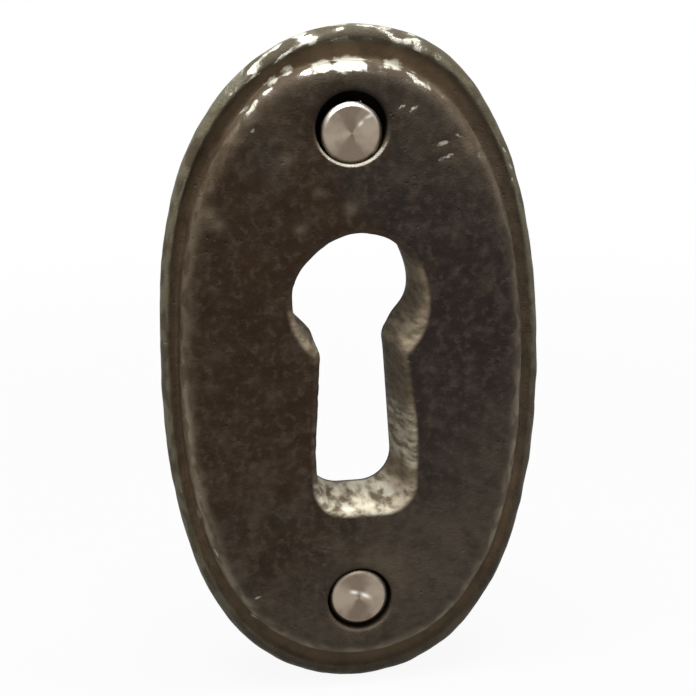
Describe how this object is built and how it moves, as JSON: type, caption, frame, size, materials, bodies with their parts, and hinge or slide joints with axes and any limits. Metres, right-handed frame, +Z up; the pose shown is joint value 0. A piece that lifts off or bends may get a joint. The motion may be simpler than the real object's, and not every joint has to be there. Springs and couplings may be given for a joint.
{
  "type": "keyhole escutcheon",
  "caption": "Oval cast iron keyhole escutcheon: a bead and groove around a raised flat field, a keyhole with a worn lip, and turned steel pins seated in its fixing holes.",
  "frame": {"origin": "middle of the back face, halfway between the two pins", "axes": "+Y out of the back face, into the door, along the pins; +Z up the plate; +X across it, to the right as seen from the front. The front looks along -Y."},
  "size_m": [0.0306, 0.0145, 0.054],
  "materials": {
    "iron": "dark brown-black patina on a slightly pitted casting, rusty brown in the groove, rubbed bare on the bead, the shoulder and the lower edge of the keyhole",
    "steel": "turned faces with fine concentric tool marks, slightly tarnished"
  },
  "bodies": {
    "root": {"escutcheon_plate": "iron", "upper_pin": "steel", "lower_pin": "steel"}
  },
  "joints": []
}
